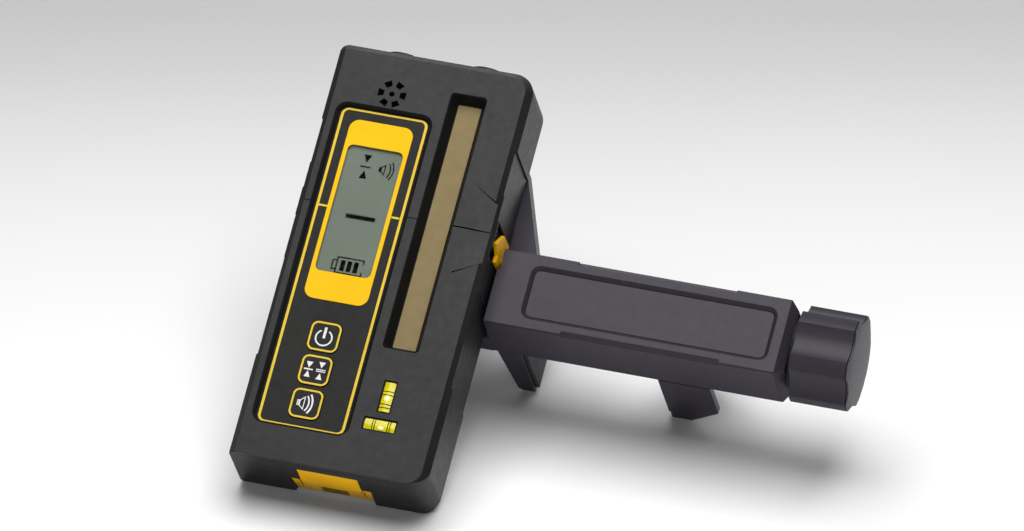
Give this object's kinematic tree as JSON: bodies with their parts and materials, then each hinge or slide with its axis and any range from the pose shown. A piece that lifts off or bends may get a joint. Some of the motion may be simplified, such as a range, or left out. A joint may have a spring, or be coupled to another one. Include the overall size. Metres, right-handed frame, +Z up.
{
  "type": "laser receiver",
  "caption": "Hand-held laser receiver with display, keys and vials on a detachable rod clamp whose knob drives a sliding jaw.",
  "frame": {"origin": "centre of the bounding box at floor level, with the receiver leaning on its clamp", "axes": "+X along the arm from the receiver to the knob, +Y away from the face's lower edge, +Z up"},
  "size_m": [0.226, 0.162, 0.1213],
  "materials": {
    "case_plastic": "fine moulded texture",
    "yellow_plastic": "moulded and printed yellow",
    "black_plastic": "satin",
    "rubber": "matte",
    "clear": "clear and polished",
    "lcd": "grey-green liquid crystal",
    "amber": "tinted and polished",
    "vial": "tinted and polished",
    "board": "solder mask",
    "steel": "plated",
    "brass": "machined",
    "cell_wrap": "plain shrink wrap"
  },
  "bodies": {
    "receiver": {"front_cover": "case_plastic", "rear_case": "case_plastic", "case_seal": "rubber", "case_screws": "steel", "keypad_panel": "case_plastic", "display_bezel": "yellow_plastic", "display_lens": "clear", "lcd_panel": "lcd", "lcd_holder": "black_plastic", "main_board": "board", "board_parts": "black_plastic", "board_screws": "steel", "key_switches": "steel", "window_lens": "amber", "sensor_board": "board", "photodiodes": "black_plastic", "sound_membrane": "rubber", "buzzer": "black_plastic", "level_vial": "vial", "plumb_vial": "vial", "vial_liquid": "vial", "top_magnets": "steel", "grade_pad": "rubber", "battery_tray": "black_plastic", "battery_cells": "cell_wrap", "cell_contacts": "steel", "flap_pin": "steel"},
    "power_key": {"power_key": "case_plastic"},
    "precision_key": {"precision_key": "case_plastic"},
    "volume_key": {"volume_key": "case_plastic"},
    "flap": {"battery_flap": "yellow_plastic", "flap_seal": "rubber", "flap_contact": "steel"},
    "clamp": {"clamp_arm": "case_plastic", "arm_plate": "case_plastic", "arm_end_cap": "case_plastic", "screw_bush": "brass", "fixed_jaw_pad": "rubber", "clamp_bracket": "case_plastic", "bracket_screws": "steel", "latch_pin": "steel", "latch_spring": "steel"},
    "latch": {"release_latch": "yellow_plastic"},
    "jaw": {"jaw_carriage": "case_plastic", "jaw_nut": "brass", "jaw_bolts": "steel", "sliding_jaw": "case_plastic", "sliding_jaw_pad": "rubber"},
    "screw": {"lead_screw": "steel", "thrust_ring": "black_plastic", "knob": "case_plastic", "knob_end_cap": "case_plastic", "knob_set_screw": "steel"}
  },
  "joints": [
    {"name": "power_press", "type": "slide", "parent": "receiver", "child": "power_key", "axis": [0, 0.5542, -0.8324], "range_m": [0, 0.0007], "stiffness_N_per_m": 800},
    {"name": "precision_press", "type": "slide", "parent": "receiver", "child": "precision_key", "axis": [0, 0.5542, -0.8324], "range_m": [0, 0.0007], "stiffness_N_per_m": 800},
    {"name": "volume_press", "type": "slide", "parent": "receiver", "child": "volume_key", "axis": [0, 0.5542, -0.8324], "range_m": [0, 0.0007], "stiffness_N_per_m": 800},
    {"name": "flap_open", "type": "hinge", "parent": "receiver", "child": "flap", "pos_m": [-0.07445, -0.0743, 0.01884], "axis": [-1, 0, 0], "range_deg": [0, 100]},
    {"name": "clamp_slide", "type": "slide", "parent": "receiver", "child": "clamp", "axis": [1, 0, 0], "range_m": [0, 0.075]},
    {"name": "latch_press", "type": "hinge", "parent": "clamp", "child": "latch", "pos_m": [-0.03055, 0.01809, 0.06449], "axis": [0, -0.5542, 0.8324], "range_deg": [0, 7], "stiffness_Nm_per_rad": 0.2},
    {"name": "knob_turn", "type": "hinge", "parent": "clamp", "child": "screw", "pos_m": [0.09795, 0.01271, 0.05172], "axis": [1, 0, 0], "range_deg": [-3600, 1530]},
    {"name": "jaw_slide", "type": "slide", "parent": "clamp", "child": "jaw", "axis": [1, 0, 0], "range_m": [-0.0402, 0.0172]}
  ],
  "couplings": [
    {"joint": "jaw_slide", "follows": "knob_turn", "m_per_rad": 0.00063662}
  ]
}
